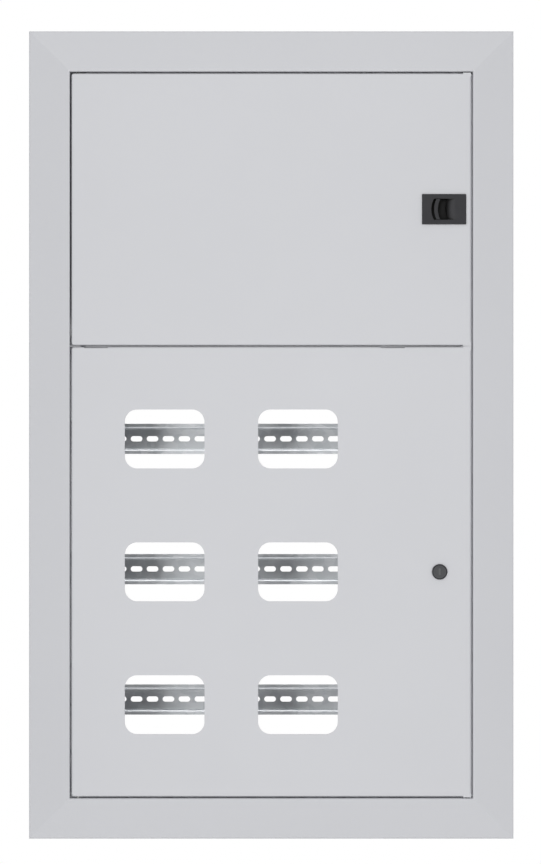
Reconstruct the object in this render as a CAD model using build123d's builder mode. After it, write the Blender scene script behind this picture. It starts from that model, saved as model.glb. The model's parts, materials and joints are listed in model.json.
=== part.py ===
"""Flush-mounted floor distribution board for six flats.

A folded sheet-steel box sits in a wall niche behind a sloping trim frame. A plain
upper door closes the low-voltage compartment, and a lower door with six windows
closes the meter compartment, where each meter has its own short 35 mm rail.

+X is to the right and +Z is up for someone who faces the doors, and +Y runs into
the wall. The origin is the centre of the four fixing holes, on the rear plane.
"""

from build123d import *
import os

os.makedirs("parts", exist_ok=True)

# Sheet and folds
sheet = 1.2                 # painted sheet of the box, the trim and the doors
fold = 2.0                  # outside radius of a fold in that sheet
bracket_sheet = 1.5         # sheet of the stops, the mounting strips and the gland plates

# Opening and trim frame
opening_w = 458.0
opening_h = 826.0
trim_border = 47.0          # width of the trim around the opening
trim_lip = 6.0              # height of the outer edge off the wall
trim_rise = 14.0            # height of the inner edge off the wall
trim_return = 34.0          # depth of the inner return, from the front
recess_depth = 126.0        # from the wall's surface to the rear plane

# Doors
door_gap = 2.0
leaf_depth = 15.0
upper_leaf_h = 309.0
ear_w = 9.0                 # flat corner where the folded edges stop short
ear_reach = 0.8             # how far a flat corner stands past a folded edge
ear_relief = 2.0

# Hinges
hinge_inset = 7.0           # from the leaf's edge to the axis
hinge_setback = 4.5         # from the door's face to the axis
pin_r = 2.0
pin_clearance = 0.1
pin_reach = 4.8             # how far a pin reaches past the leaf's edge
pin_stand = 1.5             # how far the end pins stand past the trim's return
lug_w = 8.0                 # width of the hinge lug around the pin
lug_tail_w = 10.0           # width of the lug where it goes through the trim's return
lug_tail = 3.0              # how far the lug reaches behind the trim's return
lug_setback = 1.0           # from the trim's fold to the lug's tail

# Windows, rails and rows
window_w = 90.5
window_h = 67.0
window_r = 14.0
window_pitch_x = 151.5
window_pitch_z = 151.0
window_inset = 181.6        # from the leaf's left edge to the middle of the window field
rail_setback = 65.0         # from the door's face to the rail's lips
rail_h = 35.0
rail_depth = 7.5
rail_sheet = 1.0
rail_channel = 25.0
rail_fold = 1.8
rail_pitch = 18.5           # slot spacing
rail_slots = 9
rail_slot_l = 13.5
rail_slot_w = 6.2
rail_gap = 6.9              # between the left and the right rails
left_rail_screw = 3         # the left screw of a left rail, counted from its middle slot

# Mounting strips behind the rails
strip_depth = 12.0
strip_w = 34.0
strip_room = 19.9           # from the left wall to the left strip
strip_margin = 11.3         # from the centre strip's edge to its outer row of holes
strip_hole_r = 2.75
strip_holes = 4             # hole steps between two rows of rails
foot_depth = 16.0
foot_rivet_share = 0.25     # rivet's distance from the foot's middle, by its width

# Box
rear_flange = 25.0
end_flange = 25.0
fixing_inset = 12.5         # from the side walls' outer faces to the wall fixing holes
fixing_drop = 30.4          # from the top and bottom of the side walls to those holes
fixing_r = 4.5
flange_play = 0.5           # between the edges of two flanges that meet in a corner
wall_lap = 8.0              # how far the walls reach forward past the rivets of the trim
gland_w = 290.0             # cable cut-out in the top and bottom walls
gland_d = 30.0
gland_lap = 10.0            # how far its cover laps over the wall
gland_setback = 26.0        # from the rear plane to the middle of the cut-out
gland_r = 4.0
gland_pitch = 52.0
gland_count = 5
grommet_r = 11.0            # hole of a grommet
grommet_rim = 2.5
grommet_lip = 1.6
grommet_dome = 3.0
grommet_tip_r = 7.0
gland_screw_r = 2.0
gland_screw_head_r = 3.6
gland_screw_head_h = 2.0

# Stops for the doors
stop_w = 12.0
stop_leg = 15.5
stop_clearance = 0.5
stop_play = 0.3
hinge_side_room = 17.0      # from the opening's left edge to the stops
stop_break = 57.0           # from the lock down to the joint of the two lower right stops
stop_rivet_shares = (0.25, 0.75)

# Shelf between the compartments
shelf_front_h = 24.0
shelf_rear_h = 20.0
shelf_above_gap = 12.0      # from the middle of the door gap to the shelf's top
shelf_pass_w = 120.0
shelf_pass_d = 36.0
shelf_pass_r = 6.0

# Plate at the back of the upper compartment
plate_foot = 18.0
plate_play = 3.0            # from a side wall to the plate's foot
plate_rise = 13.0
plate_margin = 22.0         # from the plate's ends to the shelf and the top wall
plate_slot_l = 14.0
plate_slot_w = 5.2
plate_pitch_x = 80.0
plate_pitch_z = 50.0
plate_columns = 5
plate_rows = 5

# Stiffeners behind the lower door
stiffener_w = 27.0
stiffener_depth = 9.0
stiffener_crown = 12.0
stiffener_sheet = 1.0
stiffener_slope = 1.0
stiffener_fold = 1.5
stiffener_inset = 27.7      # from the leaf's left edge to the left stiffener's middle
stiffener_to_lock = 52.9    # from the right stiffener's middle to the lock

# Fasteners
rivet_r = 2.0
rivet_head_r = 4.0
rivet_head_h = 1.4
rivet_tail_r = 3.0
rivet_tail_h = 2.0
screw_r = 2.5
screw_head_r = 4.5
screw_head_h = 3.0
nut_flats = 8.0
nut_h = 4.0
screw_past_nut = 1.5
stud_r = 3.0
stud_l = 14.0
stud_nut_flats = 10.0
stud_nut_h = 5.0
stud_washer_r = 6.0
stud_washer_h = 1.2
stud_inset = 77.0           # from the leaf's left edge to the doors' studs
stud_below = 40.0           # from the top edge of the upper door to its stud
box_stud_y = -60.0
box_stud_up = 44.0          # from the bottom wall to the box's stud

# Slide latch of the upper door
latch_inset = 30.6          # from the leaf's right edge to the latch's middle
latch_w = 50.3
latch_h = 34.4
latch_corner_r = 0.8
bezel_h = 2.0               # how far the bezel stands proud of the door
bezel_edge = 0.5
latch_body_w = 47.0
latch_wall = 1.4
latch_fit = 0.2
latch_stop_room = 1.0       # from the latch's back to the stop strip
latch_arc_r = 26.0          # curve of the grip and of the edges that face it
latch_arc_x = -14.5         # left edge of the finger opening, from the latch's middle
grip_x = -11.7
grip_w = 4.8
grip_proud = 0.3
slider_h = 23.6
slider_w = 32.0
slider_x = -17.0            # left end of the slider's block, from the latch's middle
pocket_depth = 6.4
ramp_x = 1.6                # where the finger ramp starts to rise
ramp_end = 13.5
latch_travel = 5.0
stem_w = 8.0
tongue_h = 16.0
tongue_sheet = 2.0
tongue_tail = 12.0
tongue_tip_clearance = 0.7  # from the tongue's tip to the stop strip, unlatched
barb_w = 8.0
barb_h = 1.2
barb_depth = 5.0
latch_screw_r = 1.5
latch_screw_l = 8.0
latch_screw_head_r = 3.0
latch_screw_head_h = 1.8
grip_edge = 0.6

# Cam lock of the lower door
lock_inset = 35.7           # from the leaf's right edge to the lock
lock_head_r = 8.8
lock_head_h = 2.2
lock_barrel_r = 7.4
lock_rim = 1.4              # wall of the head around the plug
lock_plug_r = 4.5
lock_plug_head_h = 1.6
lock_running = 0.08
lock_fit = 0.1
lock_nut_flats = 20.0
lock_nut_h = 4.0
key_slot_h = 8.4
key_slot_w = 2.2
key_slot_depth = 1.4
shutter_sheet = 0.6
cam_length = 34.0
cam_w = 14.0
cam_hub_r = 9.0
cam_sheet = 2.2
cam_square = 5.6
cam_play = 0.3
cam_screw_r = 1.5
cam_screw_l = 7.0
cam_screw_head_r = 4.0
cam_screw_head_h = 2.0

# Planes across the depth
front = -(recess_depth + trim_rise)
wall_plane = -recess_depth
leaf_inner = front + sheet
leaf_back = front + leaf_depth
stop_front = leaf_back + stop_clearance
stop_back = stop_front + bracket_sheet
return_end = front + trim_return
rivet_y = stop_front + stop_leg / 2
wall_front = rivet_y - wall_lap
stop_leg_end = stop_front + stop_leg
rail_front = front + rail_setback
rail_back = rail_front + rail_depth
tongue_front = stop_back + stop_clearance
cam_front = stop_back + stop_clearance
pin_y = front + hinge_setback
foot_end = rail_back + foot_depth
foot_rivet_y = rail_back + bracket_sheet + foot_depth / 2
gland_y = -gland_setback

# Widths and heights
half_w = opening_w / 2
half_h = opening_h / 2
wall_x = half_w + sheet
wall_z = half_h + sheet
outer_x = wall_x + sheet
outer_z = wall_z + sheet
fixing_x = 2 * (outer_x - fixing_inset)
fixing_z = 2 * (outer_z - fixing_drop)
leaf_w = opening_w - 2 * door_gap
lower_leaf_h = opening_h - 3 * door_gap - upper_leaf_h
upper_leaf_top = half_h - door_gap
upper_leaf_bottom = upper_leaf_top - upper_leaf_h
lower_leaf_bottom = -half_h + door_gap
lower_leaf_top = lower_leaf_bottom + lower_leaf_h
upper_leaf_z = (upper_leaf_top + upper_leaf_bottom) / 2
lower_leaf_z = (lower_leaf_top + lower_leaf_bottom) / 2
gap_z = (upper_leaf_bottom + lower_leaf_top) / 2
leaf_right = leaf_w / 2
hinge_x = -leaf_right + hinge_inset
latch_x = leaf_right - latch_inset
lock_x = leaf_right - lock_inset
window_x = -leaf_right + window_inset
stud_x = -leaf_right + stud_inset
stop_x = half_w - stop_w
stop_start = -half_w + hinge_side_room
shelf_top = gap_z + shelf_above_gap
shelf_under = shelf_top - sheet
rows = {
    "upper": lower_leaf_z + window_pitch_z,
    "middle": lower_leaf_z,
    "lower": lower_leaf_z - window_pitch_z,
}
rail_l = rail_slots * rail_pitch
left_strip_x = -wall_x + strip_room + strip_w / 2
left_rail_x = left_strip_x + left_rail_screw * rail_pitch
right_rail_x = left_rail_x + rail_l + rail_gap
left_rail_end = left_rail_x + (rail_slots - 1) / 2 * rail_pitch
right_rail_start = right_rail_x - (rail_slots - 1) / 2 * rail_pitch
right_strip_x = right_rail_x + (rail_slots - 1) / 2 * rail_pitch
centre_strip_x = (left_rail_end + right_rail_start) / 2
centre_strip_w = right_rail_start - left_rail_end + 2 * strip_margin
screw_columns = [left_strip_x, left_rail_end, right_rail_start, right_strip_x]
stiffener_columns = [-leaf_right + stiffener_inset, lock_x - stiffener_to_lock]
stop_ends = [
    -half_h + stop_play,
    lower_leaf_z - stop_break,
    shelf_top - shelf_front_h,
    half_h - stop_play,
]
right_stops = dict(zip(("lower", "middle", "upper"), zip(stop_ends, stop_ends[1:])))
trim_rivet_z = [
    start + share * (end - start) for start, end in right_stops.values() for share in stop_rivet_shares
]
trim_rivet_x = [half_w * share for share in (-0.7, 0, 0.7)]
corner_rivet_y = [return_end * 0.8, return_end * 0.25]


def facing(y):
    """Plane at depth y, seen from the front: its x is +X and its y is +Z."""
    return Plane.XZ.offset(-y)


def level(z):
    """Horizontal plane at height z: its x is +X and its y is +Y."""
    return Plane.XY.offset(z)


def across(x):
    """Upright plane at x, seen from the right: its x is +Y and its y is +Z."""
    return Plane.YZ.offset(x)


def folded(plane, points, thickness, side, radius=fold):
    """Section of a folded sheet, with one face through the points."""
    with BuildSketch(plane) as section:
        with BuildLine():
            FilletPolyline(*points, radius=radius)
            offset(amount=thickness, side=side)
        make_face()
    return section.sketch


def rectangle(plane, x_start, x_end, y_start, y_end):
    """Rectangle between two corners of a plane."""
    with BuildSketch(plane) as outline:
        with Locations(((x_start + x_end) / 2, (y_start + y_end) / 2)):
            Rectangle(x_end - x_start, y_end - y_start)
    return outline.sketch


def discs(plane, points, radius, start, end, mode=Mode.ADD):
    """Round pins or holes at the points, from start to end along the plane's normal."""
    with BuildSketch(plane.offset(start)) as circles:
        with Locations(*points):
            Circle(radius)
    extrude(circles.sketch, amount=end - start, mode=mode)


def holes(plane, points, radius, depth=3 * sheet):
    """Round holes at the points, through the sheets near the plane."""
    discs(plane, points, radius, -depth, depth, Mode.SUBTRACT)


def rivets(plane, points, grip, way=1):
    """Blind rivets through sheets of this thickness, with heads on one side of the plane."""
    discs(plane, points, rivet_head_r, 0, way * rivet_head_h)
    discs(plane, points, rivet_r, 0, -way * grip)
    discs(plane, points, rivet_tail_r, -way * grip, -way * (grip + rivet_tail_h))


def nuts(plane, points, flats, bore, start, end):
    """Hexagonal nuts at the points, from start to end along the plane's normal."""
    with BuildSketch(plane.offset(start)) as outline:
        with Locations(*points):
            RegularPolygon(flats / 2, 6, major_radius=False)
            Circle(bore, mode=Mode.SUBTRACT)
    extrude(outline.sketch, amount=end - start)


def save(piece, name):
    piece.part.label = name
    export_step(piece.part, f"parts/{name}.step")


# Trim frame: one mitred ring of folded sheet with a sloping face
lug_tail_y = front + fold + lug_setback
with BuildPart() as trim_frame:
    with BuildLine(facing(0)):
        Polyline(
            (0, -half_h),
            (half_w, -half_h),
            (half_w, half_h),
            (-half_w, half_h),
            (-half_w, -half_h),
            (0, -half_h),
        )
    trim_section = folded(
        Plane(origin=(0, 0, -half_h), x_dir=(0, 0, -1), z_dir=(1, 0, 0)),
        [
            (trim_border, wall_plane),
            (trim_border, wall_plane - trim_lip),
            (0, front),
            (0, return_end),
        ],
        sheet,
        Side.RIGHT,
    )
    sweep(trim_section, transition=Transition.RIGHT)
    for side in (-1, 1):
        holes(across(side * half_w), [(rivet_y, z) for z in trim_rivet_z], rivet_r)
        holes(level(side * half_h), [(x, rivet_y) for x in trim_rivet_x], rivet_r)
        holes(level(side * half_h), [(hinge_x, pin_y)], pin_r)
    lug_slot = rectangle(
        across(-half_w),
        lug_tail_y,
        lug_tail_y + lug_tail_w,
        gap_z - sheet / 2,
        gap_z + sheet / 2,
    )
    extrude(lug_slot, amount=2 * sheet, both=True, mode=Mode.SUBTRACT)
save(trim_frame, "trim_frame")


# Side walls: each has a rear flange with two holes for the wall screws
shelf_rivet_z = shelf_top - shelf_rear_h / 2
corner_rivet_z = outer_z - end_flange / 2


def side_wall(side):
    wall = folded(
        level(-outer_z),
        [(side * outer_x, wall_front), (side * outer_x, 0), (side * (outer_x - rear_flange), 0)],
        sheet,
        Side.LEFT if side > 0 else Side.RIGHT,
    )
    extrude(wall, amount=2 * outer_z)
    fixings = [(side * fixing_x / 2, z) for z in (-fixing_z / 2, fixing_z / 2)]
    holes(facing(0), fixings, fixing_r)
    holes(across(side * outer_x), [(rivet_y, z) for z in trim_rivet_z], rivet_r)
    for z in (-corner_rivet_z, shelf_rivet_z, corner_rivet_z):
        holes(across(side * outer_x), [(y, z) for y in corner_rivet_y], rivet_r)


with BuildPart() as left_wall:
    side_wall(-1)
save(left_wall, "left_wall")

with BuildPart() as right_wall:
    side_wall(1)
save(right_wall, "right_wall")


# Top and bottom walls: flanges at both ends and at the rear, and a cable cut-out
strip_foot_points = {}
for strip_x, strip_wide in [
    (left_strip_x, strip_w),
    (centre_strip_x, centre_strip_w),
    (right_strip_x, strip_w),
]:
    reach = foot_rivet_share * strip_wide
    strip_foot_points[strip_x] = [(strip_x - reach, foot_rivet_y), (strip_x + reach, foot_rivet_y)]
foot_points = [point for pair in strip_foot_points.values() for point in pair]
gland_screw_points = [
    (x, gland_y + y)
    for x in (-(gland_w + gland_lap) / 2, (gland_w + gland_lap) / 2)
    for y in (-(gland_d + gland_lap) / 2, (gland_d + gland_lap) / 2)
]
grommet_points = [
    ((i - (gland_count - 1) / 2) * gland_pitch, gland_y) for i in range(gland_count)
]


def end_wall(side):
    ends_start = return_end + flange_play
    ends = folded(
        facing(ends_start),
        [
            (-wall_x, side * (outer_z - end_flange)),
            (-wall_x, side * outer_z),
            (wall_x, side * outer_z),
            (wall_x, side * (outer_z - end_flange)),
        ],
        sheet,
        Side.RIGHT if side > 0 else Side.LEFT,
    )
    extrude(ends, amount=ends_start + fold + flange_play)
    lap = rectangle(level(side * wall_z), -wall_x, wall_x, wall_front, ends_start + fold)
    extrude(lap, amount=side * sheet)
    rear_reach = outer_x - rear_flange - flange_play
    rear = folded(
        across(-rear_reach),
        [(-rear_flange, side * outer_z), (0, side * outer_z), (0, side * (outer_z - rear_flange))],
        sheet,
        Side.RIGHT if side > 0 else Side.LEFT,
    )
    extrude(rear, amount=2 * rear_reach)
    with BuildSketch(level(side * wall_z)) as cable_cut:
        with Locations((0, gland_y)):
            RectangleRounded(gland_w, gland_d, gland_r)
    extrude(cable_cut.sketch, amount=2 * sheet, both=True, mode=Mode.SUBTRACT)
    holes(level(side * wall_z), gland_screw_points, gland_screw_r)
    holes(level(side * wall_z), [(x, rivet_y) for x in trim_rivet_x], rivet_r)
    for x in (-wall_x, wall_x):
        holes(across(x), [(y, side * corner_rivet_z) for y in corner_rivet_y], rivet_r)


with BuildPart() as top_wall:
    end_wall(1)
save(top_wall, "top_wall")

with BuildPart() as bottom_wall:
    end_wall(-1)
    holes(level(-wall_z), foot_points, rivet_r)
save(bottom_wall, "bottom_wall")


# Gland plates: covers of the cable cut-outs, with closed rubber grommets
def gland_plate(side):
    with BuildSketch(level(side * outer_z)) as cover:
        with Locations((0, gland_y)):
            RectangleRounded(gland_w + 2 * gland_lap, gland_d + 2 * gland_lap, gland_r)
        with Locations(*grommet_points):
            Circle(grommet_r, mode=Mode.SUBTRACT)
        with Locations(*gland_screw_points):
            Circle(gland_screw_r, mode=Mode.SUBTRACT)
    extrude(cover.sketch, amount=side * bracket_sheet)


with BuildPart() as top_gland_plate:
    gland_plate(1)
save(top_gland_plate, "top_gland_plate")

with BuildPart() as bottom_gland_plate:
    gland_plate(-1)
save(bottom_gland_plate, "bottom_gland_plate")

with BuildPart() as cable_grommets:
    for side in (-1, 1):
        cover_in = side * outer_z
        cover_out = side * (outer_z + bracket_sheet)
        tip = cover_out + side * (grommet_lip + grommet_dome)
        for x, y in grommet_points:
            with BuildSketch(facing(gland_y)):
                with BuildLine():
                    Polyline(
                        (x, cover_in - side * grommet_lip),
                        (x + grommet_r + grommet_rim, cover_in - side * grommet_lip),
                        (x + grommet_r + grommet_rim, cover_in),
                        (x + grommet_r, cover_in),
                        (x + grommet_r, cover_out),
                        (x + grommet_r + grommet_rim, cover_out),
                        (x + grommet_r, cover_out + side * grommet_lip),
                        (x + grommet_tip_r, tip),
                        (x, tip),
                        close=True,
                    )
                make_face()
            revolve(axis=Axis((x, gland_y, 0), (0, 0, 1)))
save(cable_grommets, "cable_grommets")

with BuildPart() as gland_screws:
    for side in (-1, 1):
        under_head = level(side * (outer_z + bracket_sheet))
        shank = bracket_sheet + sheet + screw_past_nut
        discs(under_head, gland_screw_points, gland_screw_head_r, 0, side * gland_screw_head_h)
        discs(under_head, gland_screw_points, gland_screw_r, 0, -side * shank)
save(gland_screws, "gland_screws")


# Shelf between the compartments: its front flange also stops both doors
with BuildPart() as divider_shelf:
    middle = folded(
        across(stop_start),
        [
            (stop_front, shelf_top - shelf_front_h),
            (stop_front, shelf_top),
            (-sheet, shelf_top),
            (-sheet, shelf_top - shelf_rear_h),
        ],
        sheet,
        Side.RIGHT,
    )
    extrude(middle, amount=stop_x - stop_play - stop_start)
    shelf_ends_start = return_end + flange_play
    shelf_ends = folded(
        facing(shelf_ends_start),
        [
            (-wall_x, shelf_top - shelf_rear_h),
            (-wall_x, shelf_top),
            (wall_x, shelf_top),
            (wall_x, shelf_top - shelf_rear_h),
        ],
        sheet,
        Side.RIGHT,
    )
    extrude(shelf_ends, amount=shelf_ends_start + fold + flange_play)
    with BuildSketch(level(shelf_top)):
        with Locations((0, gland_y)):
            RectangleRounded(shelf_pass_w, shelf_pass_d, shelf_pass_r)
    extrude(amount=-2 * sheet, mode=Mode.SUBTRACT)
    holes(level(shelf_top), foot_points, rivet_r)
    for x in (-wall_x, wall_x):
        holes(across(x), [(y, shelf_rivet_z) for y in corner_rivet_y], rivet_r)
save(divider_shelf, "divider_shelf")


# Stop strips behind the free edges of the doors: three at the right, one at each end
for name, (start, end) in right_stops.items():
    with BuildPart() as right_stop:
        stop = folded(
            level(start),
            [(stop_x, stop_front), (half_w, stop_front), (half_w, stop_leg_end)],
            bracket_sheet,
            Side.LEFT,
        )
        extrude(stop, amount=end - start - stop_play)
        holes(across(half_w), [(rivet_y, z) for z in trim_rivet_z], rivet_r)
    save(right_stop, f"{name}_right_stop")


def cross_stop(side):
    profile = folded(
        across(stop_start),
        [
            (stop_front, side * (half_h - stop_w)),
            (stop_front, side * half_h),
            (stop_leg_end, side * half_h),
        ],
        bracket_sheet,
        Side.RIGHT if side > 0 else Side.LEFT,
    )
    extrude(profile, amount=stop_x - stop_play - stop_start)
    holes(level(side * half_h), [(x, rivet_y) for x in trim_rivet_x], rivet_r)


with BuildPart() as top_stop:
    cross_stop(1)
save(top_stop, "top_stop")

with BuildPart() as bottom_stop:
    cross_stop(-1)
save(bottom_stop, "bottom_stop")


# Mounting strips: perforated channels that carry the rails
def mounting_strip(x, width, columns):
    half = width / 2
    web = folded(
        across(x - half + fold),
        [(foot_end, -wall_z), (rail_back, -wall_z), (rail_back, shelf_under), (foot_end, shelf_under)],
        bracket_sheet,
        Side.RIGHT,
    )
    extrude(web, amount=width - 2 * fold)
    bottom = -wall_z + bracket_sheet + fold
    top = shelf_under - bracket_sheet - fold
    channel = folded(
        level(bottom),
        [
            (x - half, rail_back + strip_depth),
            (x - half, rail_back),
            (x + half, rail_back),
            (x + half, rail_back + strip_depth),
        ],
        bracket_sheet,
        Side.LEFT,
    )
    extrude(channel, amount=top - bottom)
    step = window_pitch_z / strip_holes
    first = -int((lower_leaf_z - bottom) / step - 0.5)
    last = int((top - lower_leaf_z) / step - 0.5)
    hole_z = [lower_leaf_z + i * step for i in range(first, last + 1)]
    holes(facing(rail_back), [(column, z) for column in columns for z in hole_z], strip_hole_r)
    holes(level(-wall_z), strip_foot_points[x], rivet_r)
    holes(level(shelf_under), strip_foot_points[x], rivet_r)


with BuildPart() as left_mounting_strip:
    mounting_strip(left_strip_x, strip_w, [left_strip_x])
save(left_mounting_strip, "left_mounting_strip")

with BuildPart() as centre_mounting_strip:
    mounting_strip(centre_strip_x, centre_strip_w, [left_rail_end, right_rail_start])
save(centre_mounting_strip, "centre_mounting_strip")

with BuildPart() as right_mounting_strip:
    mounting_strip(right_strip_x, strip_w, [right_strip_x])
save(right_mounting_strip, "right_mounting_strip")


# Rails: six short slotted top-hat rails, one behind each window
lip_z = rail_h / 2
channel_z = rail_channel / 2
for row, row_z in rows.items():
    for column, rail_x in (("left", left_rail_x), ("right", right_rail_x)):
        with BuildPart() as rail:
            hat = folded(
                across(rail_x - rail_l / 2),
                [
                    (rail_front, row_z + lip_z),
                    (rail_front, row_z + channel_z),
                    (rail_back - rail_sheet, row_z + channel_z),
                    (rail_back - rail_sheet, row_z - channel_z),
                    (rail_front, row_z - channel_z),
                    (rail_front, row_z - lip_z),
                ],
                rail_sheet,
                Side.LEFT,
                rail_fold,
            )
            extrude(hat, amount=rail_l)
            with BuildSketch(facing(rail_back)):
                with Locations((rail_x, row_z)):
                    with GridLocations(rail_pitch, 1, rail_slots, 1):
                        SlotOverall(rail_slot_l, rail_slot_w)
            extrude(amount=2 * rail_sheet, mode=Mode.SUBTRACT)
        save(rail, f"{row}_{column}_rail")

screw_points = [(x, z) for x in screw_columns for z in rows.values()]
with BuildPart() as rail_screws:
    under_head = facing(rail_back - rail_sheet)
    discs(under_head, screw_points, screw_head_r, 0, screw_head_h)
    shank = rail_sheet + bracket_sheet + nut_h + screw_past_nut
    discs(under_head, screw_points, screw_r, 0, -shank)
save(rail_screws, "rail_screws")

with BuildPart() as rail_nuts:
    nuts(facing(rail_back + bracket_sheet), screw_points, nut_flats, screw_r, 0, -nut_h)
save(rail_nuts, "rail_nuts")


# Plate at the back of the upper compartment, welded to the side walls' rear flanges
with BuildPart() as mounting_plate:
    plate_bottom = shelf_top + plate_margin
    plate_top = wall_z - plate_margin
    foot_x = wall_x - plate_play
    raised_x = foot_x - plate_foot
    raised_y = -sheet - plate_rise
    plate = folded(
        level(plate_bottom),
        [
            (-foot_x, -sheet),
            (-raised_x, -sheet),
            (-raised_x, raised_y),
            (raised_x, raised_y),
            (raised_x, -sheet),
            (foot_x, -sheet),
        ],
        sheet,
        Side.RIGHT,
    )
    extrude(plate, amount=plate_top - plate_bottom)
    with BuildSketch(facing(raised_y)):
        with Locations((0, (plate_top + plate_bottom) / 2)):
            with GridLocations(plate_pitch_x, plate_pitch_z, plate_columns, plate_rows):
                SlotOverall(plate_slot_l, plate_slot_w)
    extrude(amount=2 * sheet, mode=Mode.SUBTRACT)
save(mounting_plate, "mounting_plate")


# Rivets of the trim and the stops, of the walls' corners, of the shelf and of the strips
with BuildPart() as trim_rivets:
    side_points = [(rivet_y, z) for z in trim_rivet_z]
    end_points = [(x, rivet_y) for x in trim_rivet_x]
    stop_grip = bracket_sheet + 2 * sheet
    rivets(across(-half_w), side_points, 2 * sheet)
    rivets(across(half_w - bracket_sheet), side_points, stop_grip, way=-1)
    rivets(level(half_h - bracket_sheet), end_points, stop_grip, way=-1)
    rivets(level(bracket_sheet - half_h), end_points, stop_grip)
save(trim_rivets, "trim_rivets")

with BuildPart() as wall_rivets:
    for side in (-1, 1):
        for z in (-corner_rivet_z, corner_rivet_z):
            rivets(across(side * half_w), [(y, z) for y in corner_rivet_y], 2 * sheet, way=-side)
save(wall_rivets, "wall_rivets")

with BuildPart() as shelf_rivets:
    for side in (-1, 1):
        shelf_points = [(y, shelf_rivet_z) for y in corner_rivet_y]
        rivets(across(side * half_w), shelf_points, 2 * sheet, way=-side)
save(shelf_rivets, "shelf_rivets")

with BuildPart() as strip_rivets:
    foot_grip = bracket_sheet + sheet
    rivets(level(-wall_z + bracket_sheet), foot_points, foot_grip)
    rivets(level(shelf_under - bracket_sheet), foot_points, foot_grip, way=-1)
save(strip_rivets, "strip_rivets")


# Hinges: pins through the trim's return at both ends, and a lug between the doors
with BuildPart() as hinge_lug:
    tail = rectangle(
        level(gap_z - sheet / 2),
        -wall_x - lug_tail,
        hinge_x - lug_w / 2,
        lug_tail_y,
        lug_tail_y + lug_tail_w,
    )
    extrude(tail, amount=sheet)
    eye = rectangle(
        level(gap_z - sheet / 2), -half_w, hinge_x, pin_y - lug_w / 2, pin_y + lug_w / 2
    )
    extrude(eye, amount=sheet)
    discs(level(gap_z), [(hinge_x, pin_y)], lug_w / 2, -sheet / 2, sheet / 2)
    holes(level(gap_z), [(hinge_x, pin_y)], pin_r)
save(hinge_lug, "hinge_lug")

with BuildPart() as top_hinge_pin:
    pin_top = wall_z + pin_stand
    discs(level(pin_top), [(hinge_x, pin_y)], pin_r, 0, upper_leaf_top - pin_reach - pin_top)
save(top_hinge_pin, "top_hinge_pin")

with BuildPart() as middle_hinge_pin:
    middle_reach = door_gap / 2 + pin_reach
    discs(level(gap_z), [(hinge_x, pin_y)], pin_r, -middle_reach, middle_reach)
save(middle_hinge_pin, "middle_hinge_pin")

with BuildPart() as bottom_hinge_pin:
    pin_bottom = -wall_z - pin_stand
    pin_l = lower_leaf_bottom + pin_reach - pin_bottom
    discs(level(pin_bottom), [(hinge_x, pin_y)], pin_r, 0, pin_l)
save(bottom_hinge_pin, "bottom_hinge_pin")


# Doors: folded pans whose right-hand corners stay flat where the folds stop short
def door_pan(door, bottom, top):
    with BuildSketch(facing(leaf_back)) as outline:
        with Locations((0, (bottom + top) / 2)):
            RectangleRounded(leaf_w, top - bottom, fold + ear_reach)
    extrude(outline.sketch, amount=leaf_depth)
    fillet(door.faces().sort_by(Axis.Y)[0].edges(), fold)
    offset(amount=-sheet, openings=door.faces().sort_by(Axis.Y)[-1])
    for side, edge_z in ((-1, bottom), (1, top)):
        fold_end = edge_z - side * (fold + ear_relief)
        corner = rectangle(
            facing(leaf_back), leaf_right - ear_w, leaf_right + sheet, *sorted((fold_end, edge_z + side))
        )
        extrude(corner, amount=2 * leaf_depth, mode=Mode.SUBTRACT)
        ear = rectangle(
            facing(leaf_inner),
            leaf_right - ear_w,
            leaf_right,
            *sorted((fold_end, edge_z + side * ear_reach)),
        )
        extrude(ear, amount=sheet)
        holes(level(edge_z), [(hinge_x, pin_y)], pin_r + pin_clearance)


latch_body_h = slider_h + 2 * (latch_fit + latch_wall)
latch_back = stop_front - latch_stop_room
with BuildPart() as upper_door:
    door_pan(upper_door, upper_leaf_bottom, upper_leaf_top)
    with BuildSketch(facing(front)):
        with Locations((latch_x, upper_leaf_z)):
            Rectangle(latch_body_w + 2 * latch_fit, latch_body_h + 2 * latch_fit)
    extrude(amount=-2 * sheet, mode=Mode.SUBTRACT)
save(upper_door, "upper_door")

with BuildPart() as lower_door:
    door_pan(lower_door, lower_leaf_bottom, lower_leaf_top)
    with BuildSketch(facing(front)):
        with Locations((window_x, lower_leaf_z)):
            with GridLocations(window_pitch_x, window_pitch_z, 2, len(rows)):
                RectangleRounded(window_w, window_h, window_r)
        with Locations((lock_x, lower_leaf_z)):
            Circle(lock_barrel_r + lock_fit)
    extrude(amount=-2 * sheet, mode=Mode.SUBTRACT)
    for x in stiffener_columns:
        notch = rectangle(
            facing(leaf_inner + stiffener_depth),
            x - stiffener_w / 2,
            x + stiffener_w / 2,
            lower_leaf_top - sheet,
            lower_leaf_top + sheet,
        )
        extrude(notch, amount=2 * stiffener_depth, mode=Mode.SUBTRACT)
        passage = rectangle(
            facing(leaf_inner + stiffener_depth),
            x - stiffener_w / 2,
            x + stiffener_w / 2,
            lower_leaf_top - fold,
            lower_leaf_top + sheet,
        )
        extrude(passage, amount=stiffener_depth, mode=Mode.SUBTRACT)
save(lower_door, "lower_door")


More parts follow.
